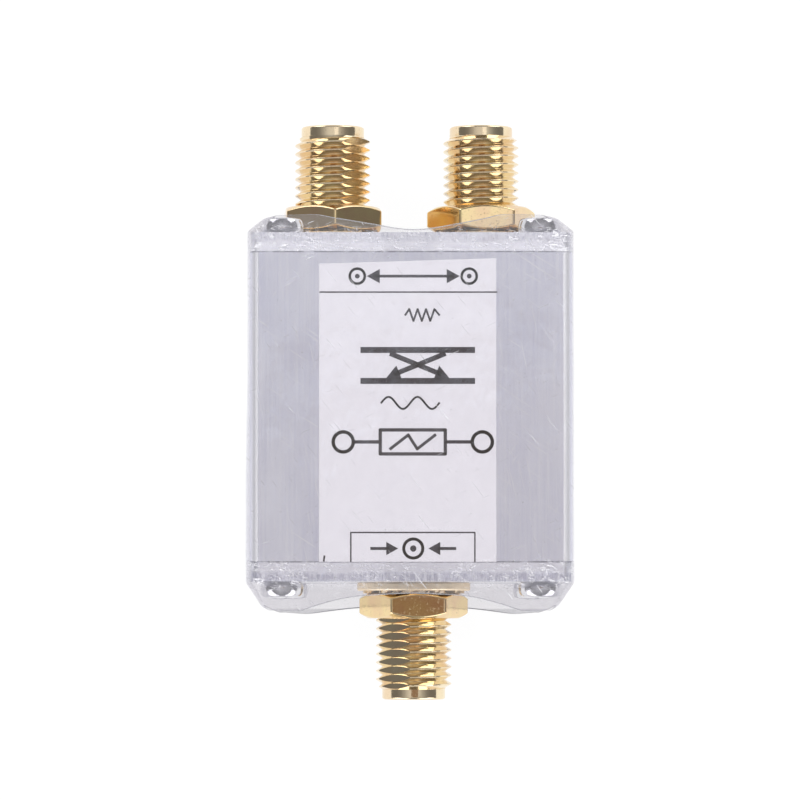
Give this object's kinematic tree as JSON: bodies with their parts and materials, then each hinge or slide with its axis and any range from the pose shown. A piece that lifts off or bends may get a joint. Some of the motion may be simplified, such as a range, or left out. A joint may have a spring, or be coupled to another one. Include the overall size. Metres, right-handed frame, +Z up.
{
  "type": "rf line sampler",
  "caption": "Radio-frequency line sampler: a small aluminium box, labelled and wrapped in clear film, with threaded coaxial jacks on opposite ends for a through line and a sample of it.",
  "frame": {"origin": "centre of the box that holds the object, on the surface that its back lies on", "axes": "+Z up, out of the label; +Y towards the end with the line jacks; +X to the right as the label faces the reader"},
  "size_m": [0.0272, 0.0482, 0.0269],
  "materials": {
    "tube_aluminium": "bare extruded, satin",
    "plate_aluminium": "bare sheet, sheared edges",
    "screw_plating": "bright plated",
    "gold_plating": "gold-plated, satin",
    "washer_plating": "gold-plated, matt",
    "insulator_white": "waxy white",
    "copper_wire": "bare copper",
    "tap_lacquer": "lacquered",
    "load_lacquer": "lacquered",
    "solder": "bright solder",
    "label_paper": "white printed paper",
    "film_clear": "clear, glossy"
  },
  "bodies": {
    "root": {"housing_tube": "tube_aluminium", "input_end_plate": "plate_aluminium", "sample_end_plate": "plate_aluminium", "input_plate_screws": "screw_plating", "sample_plate_screws": "screw_plating", "line_wire": "copper_wire", "tap_resistor": "tap_lacquer", "load_resistor": "load_lacquer", "solder_joints": "solder", "label": "label_paper", "clear_film": "film_clear", "left_jack_shell": "gold_plating", "left_jack_insulator": "insulator_white", "left_jack_contact": "gold_plating", "left_jack_washer": "washer_plating", "left_jack_nut": "gold_plating", "right_jack_shell": "gold_plating", "right_jack_insulator": "insulator_white", "right_jack_contact": "gold_plating", "right_jack_washer": "washer_plating", "right_jack_nut": "gold_plating", "sample_jack_shell": "gold_plating", "sample_jack_insulator": "insulator_white", "sample_jack_contact": "gold_plating", "sample_jack_washer": "washer_plating", "sample_jack_nut": "gold_plating"}
  },
  "joints": []
}
